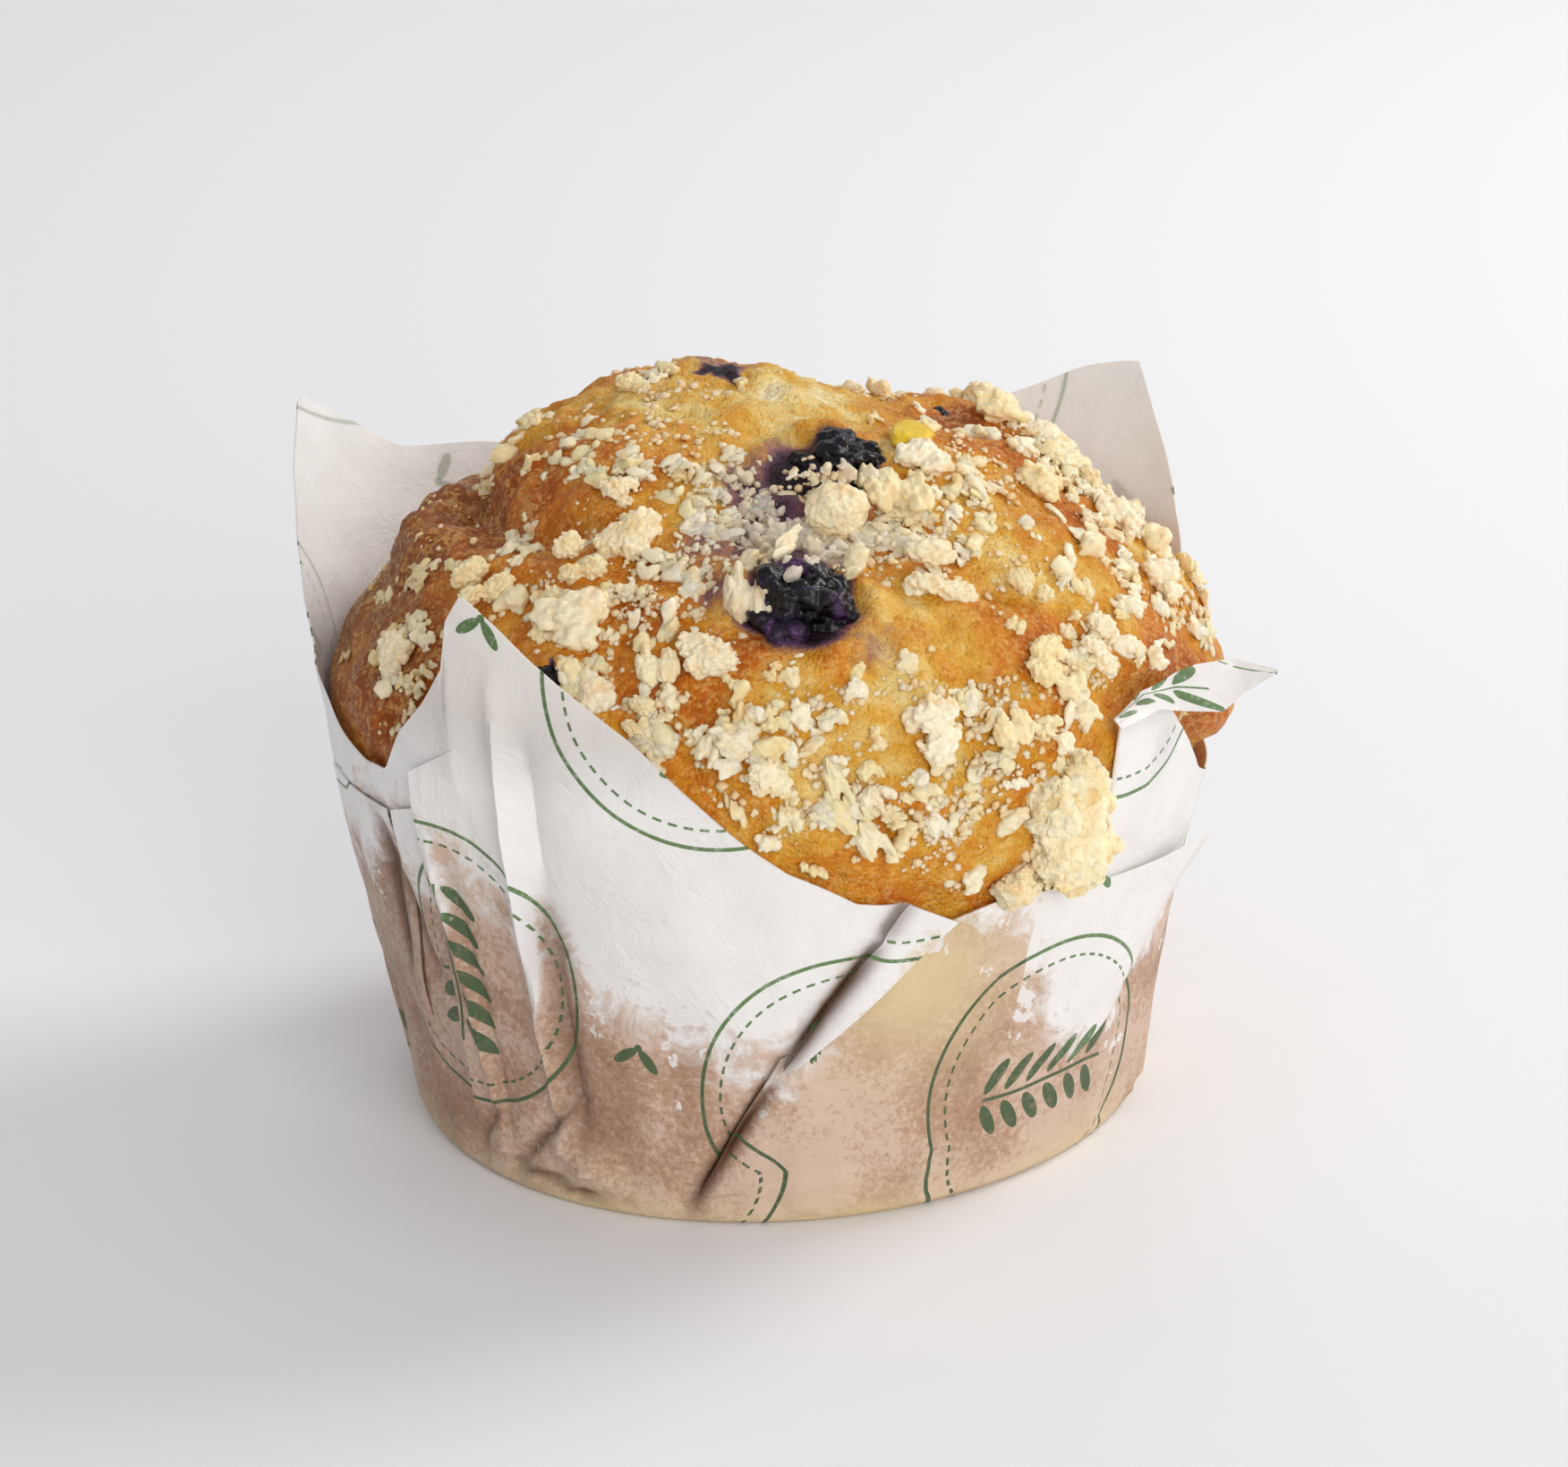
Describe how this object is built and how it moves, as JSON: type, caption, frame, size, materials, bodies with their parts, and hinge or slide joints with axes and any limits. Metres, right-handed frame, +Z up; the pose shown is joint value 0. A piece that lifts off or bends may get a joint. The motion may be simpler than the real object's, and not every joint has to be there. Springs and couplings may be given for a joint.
{
  "type": "blueberry streusel muffin in paper case",
  "caption": "Jumbo muffin with a domed, cracked crust, streusel crumbs and berries, in a folded tulip paper case that stands on its flat base.",
  "frame": {"origin": "centre of the case's flat base, on the table", "axes": "+Z up through the dome, -Y the front with the low edge of the case, +X the right side with the folded-out petal"},
  "size_m": [0.0953, 0.0902, 0.0722],
  "materials": {
    "muffin": "baked cake crust with sugary streusel, matte",
    "berry": "baked blueberry skin, wrinkled and slightly glossy",
    "paper": "greaseproof baking paper, satin, with butter stains"
  },
  "bodies": {
    "root": {"muffin": "muffin", "berry_front": "berry", "berry_middle": "berry", "berry_back": "berry", "berry_right": "berry", "berry_left": "berry", "paper_case": "paper"}
  },
  "joints": []
}
